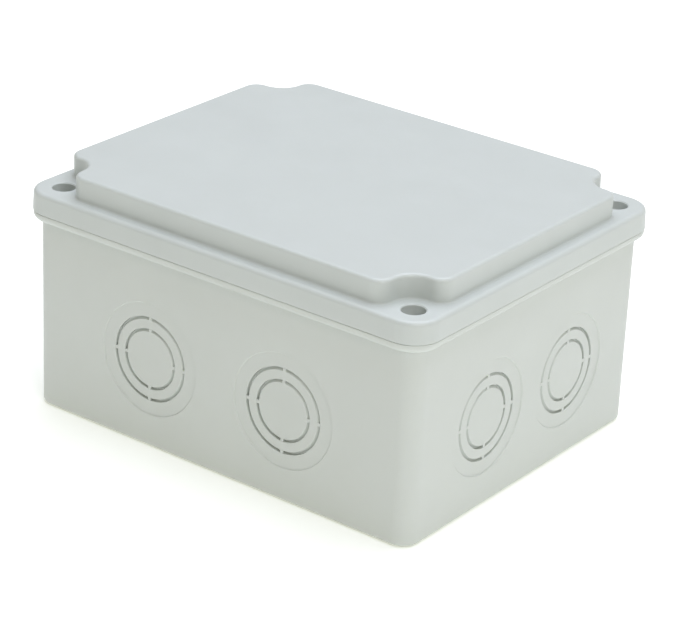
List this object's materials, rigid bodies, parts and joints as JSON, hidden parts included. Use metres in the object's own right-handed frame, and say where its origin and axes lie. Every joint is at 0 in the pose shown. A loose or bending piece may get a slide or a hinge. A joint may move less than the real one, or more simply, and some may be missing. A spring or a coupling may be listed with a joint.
{
  "type": "electrical junction box",
  "caption": "Rectangular moulded plastic junction box with a screwed lift-off lid, raised top with notched corners, and double-ring break-out cable entries.",
  "frame": {"origin": "middle of the underside, the face that goes against the wall", "axes": "+X along the long side, +Y along the short side, +Z from the underside to the lid"},
  "size_m": [0.156, 0.128, 0.0826],
  "materials": {
    "base_plastic": "satin",
    "lid_plastic": "satin",
    "gasket_rubber": "matte",
    "screw_steel": "satin",
    "retainer_plastic": "satin",
    "insert_brass": "satin",
    "plug_plastic": "satin"
  },
  "bodies": {
    "base": {"base": "base_plastic", "thread_insert_front_left": "insert_brass", "thread_insert_front_right": "insert_brass", "thread_insert_back_left": "insert_brass", "thread_insert_back_right": "insert_brass"},
    "lid": {"lid": "lid_plastic", "lid_gasket": "gasket_rubber"},
    "screw_retainer_front_left": {"screw_retainer_front_left": "retainer_plastic"},
    "lid_screw_front_left": {"lid_screw_front_left": "screw_steel"},
    "mounting_plug_front_left": {"mounting_plug_front_left": "plug_plastic"},
    "screw_retainer_front_right": {"screw_retainer_front_right": "retainer_plastic"},
    "lid_screw_front_right": {"lid_screw_front_right": "screw_steel"},
    "mounting_plug_front_right": {"mounting_plug_front_right": "plug_plastic"},
    "screw_retainer_back_left": {"screw_retainer_back_left": "retainer_plastic"},
    "lid_screw_back_left": {"lid_screw_back_left": "screw_steel"},
    "mounting_plug_back_left": {"mounting_plug_back_left": "plug_plastic"},
    "screw_retainer_back_right": {"screw_retainer_back_right": "retainer_plastic"},
    "lid_screw_back_right": {"lid_screw_back_right": "screw_steel"},
    "mounting_plug_back_right": {"mounting_plug_back_right": "plug_plastic"},
    "knockout_ring_front_left": {"knockout_ring_front_left": "base_plastic"},
    "knockout_disc_front_left": {"knockout_disc_front_left": "base_plastic"},
    "knockout_ring_front_right": {"knockout_ring_front_right": "base_plastic"},
    "knockout_disc_front_right": {"knockout_disc_front_right": "base_plastic"},
    "knockout_ring_right_left": {"knockout_ring_right_left": "base_plastic"},
    "knockout_disc_right_left": {"knockout_disc_right_left": "base_plastic"},
    "knockout_ring_right_right": {"knockout_ring_right_right": "base_plastic"},
    "knockout_disc_right_right": {"knockout_disc_right_right": "base_plastic"},
    "knockout_ring_back_left": {"knockout_ring_back_left": "base_plastic"},
    "knockout_disc_back_left": {"knockout_disc_back_left": "base_plastic"},
    "knockout_ring_back_right": {"knockout_ring_back_right": "base_plastic"},
    "knockout_disc_back_right": {"knockout_disc_back_right": "base_plastic"},
    "knockout_ring_left_left": {"knockout_ring_left_left": "base_plastic"},
    "knockout_disc_left_left": {"knockout_disc_left_left": "base_plastic"},
    "knockout_ring_left_right": {"knockout_ring_left_right": "base_plastic"},
    "knockout_disc_left_right": {"knockout_disc_left_right": "base_plastic"}
  },
  "joints": [
    {"name": "lid_lift", "type": "slide", "parent": "base", "child": "lid", "axis": [0, 0, 1], "range_m": [0, 0.06]},
    {"name": "screw_advance_front_left", "type": "slide", "parent": "lid", "child": "screw_retainer_front_left", "axis": [0, 0, 1], "range_m": [0, 0.0062]},
    {"name": "screw_turn_front_left", "type": "hinge", "parent": "screw_retainer_front_left", "child": "lid_screw_front_left", "pos_m": [-0.0683, -0.0543, 0.0681], "axis": [0, 0, 1], "range_deg": [0, 3190]},
    {"name": "plug_pull_front_left", "type": "slide", "parent": "base", "child": "mounting_plug_front_left", "axis": [0, 0, 1], "range_m": [0, 0.006]},
    {"name": "screw_advance_front_right", "type": "slide", "parent": "lid", "child": "screw_retainer_front_right", "axis": [0, 0, 1], "range_m": [0, 0.0062]},
    {"name": "screw_turn_front_right", "type": "hinge", "parent": "screw_retainer_front_right", "child": "lid_screw_front_right", "pos_m": [0.0683, -0.0543, 0.0681], "axis": [0, 0, 1], "range_deg": [0, 3190]},
    {"name": "plug_pull_front_right", "type": "slide", "parent": "base", "child": "mounting_plug_front_right", "axis": [0, 0, 1], "range_m": [0, 0.006]},
    {"name": "screw_advance_back_left", "type": "slide", "parent": "lid", "child": "screw_retainer_back_left", "axis": [0, 0, 1], "range_m": [0, 0.0062]},
    {"name": "screw_turn_back_left", "type": "hinge", "parent": "screw_retainer_back_left", "child": "lid_screw_back_left", "pos_m": [-0.0683, 0.0543, 0.0681], "axis": [0, 0, 1], "range_deg": [0, 3190]},
    {"name": "plug_pull_back_left", "type": "slide", "parent": "base", "child": "mounting_plug_back_left", "axis": [0, 0, 1], "range_m": [0, 0.006]},
    {"name": "screw_advance_back_right", "type": "slide", "parent": "lid", "child": "screw_retainer_back_right", "axis": [0, 0, 1], "range_m": [0, 0.0062]},
    {"name": "screw_turn_back_right", "type": "hinge", "parent": "screw_retainer_back_right", "child": "lid_screw_back_right", "pos_m": [0.0683, 0.0543, 0.0681], "axis": [0, 0, 1], "range_deg": [0, 3190]},
    {"name": "plug_pull_back_right", "type": "slide", "parent": "base", "child": "mounting_plug_back_right", "axis": [0, 0, 1], "range_m": [0, 0.006]},
    {"name": "ring_push_front_left", "type": "slide", "parent": "base", "child": "knockout_ring_front_left", "axis": [0, 1, 0], "range_m": [0, 0.01]},
    {"name": "disc_push_front_left", "type": "slide", "parent": "knockout_ring_front_left", "child": "knockout_disc_front_left", "axis": [0, 1, 0], "range_m": [0, 0.01]},
    {"name": "ring_push_front_right", "type": "slide", "parent": "base", "child": "knockout_ring_front_right", "axis": [0, 1, 0], "range_m": [0, 0.01]},
    {"name": "disc_push_front_right", "type": "slide", "parent": "knockout_ring_front_right", "child": "knockout_disc_front_right", "axis": [0, 1, 0], "range_m": [0, 0.01]},
    {"name": "ring_push_right_left", "type": "slide", "parent": "base", "child": "knockout_ring_right_left", "axis": [-1, 0, 0], "range_m": [0, 0.01]},
    {"name": "disc_push_right_left", "type": "slide", "parent": "knockout_ring_right_left", "child": "knockout_disc_right_left", "axis": [-1, 0, 0], "range_m": [0, 0.01]},
    {"name": "ring_push_right_right", "type": "slide", "parent": "base", "child": "knockout_ring_right_right", "axis": [-1, 0, 0], "range_m": [0, 0.01]},
    {"name": "disc_push_right_right", "type": "slide", "parent": "knockout_ring_right_right", "child": "knockout_disc_right_right", "axis": [-1, 0, 0], "range_m": [0, 0.01]},
    {"name": "ring_push_back_left", "type": "slide", "parent": "base", "child": "knockout_ring_back_left", "axis": [0, -1, 0], "range_m": [0, 0.01]},
    {"name": "disc_push_back_left", "type": "slide", "parent": "knockout_ring_back_left", "child": "knockout_disc_back_left", "axis": [0, -1, 0], "range_m": [0, 0.01]},
    {"name": "ring_push_back_right", "type": "slide", "parent": "base", "child": "knockout_ring_back_right", "axis": [0, -1, 0], "range_m": [0, 0.01]},
    {"name": "disc_push_back_right", "type": "slide", "parent": "knockout_ring_back_right", "child": "knockout_disc_back_right", "axis": [0, -1, 0], "range_m": [0, 0.01]},
    {"name": "ring_push_left_left", "type": "slide", "parent": "base", "child": "knockout_ring_left_left", "axis": [1, 0, 0], "range_m": [0, 0.01]},
    {"name": "disc_push_left_left", "type": "slide", "parent": "knockout_ring_left_left", "child": "knockout_disc_left_left", "axis": [1, 0, 0], "range_m": [0, 0.01]},
    {"name": "ring_push_left_right", "type": "slide", "parent": "base", "child": "knockout_ring_left_right", "axis": [1, 0, 0], "range_m": [0, 0.01]},
    {"name": "disc_push_left_right", "type": "slide", "parent": "knockout_ring_left_right", "child": "knockout_disc_left_right", "axis": [1, 0, 0], "range_m": [0, 0.01]}
  ],
  "couplings": [
    {"joint": "screw_turn_front_left", "follows": "screw_advance_front_left", "rad_per_m": 8976},
    {"joint": "screw_turn_front_right", "follows": "screw_advance_front_right", "rad_per_m": 8976},
    {"joint": "screw_turn_back_left", "follows": "screw_advance_back_left", "rad_per_m": 8976},
    {"joint": "screw_turn_back_right", "follows": "screw_advance_back_right", "rad_per_m": 8976}
  ]
}
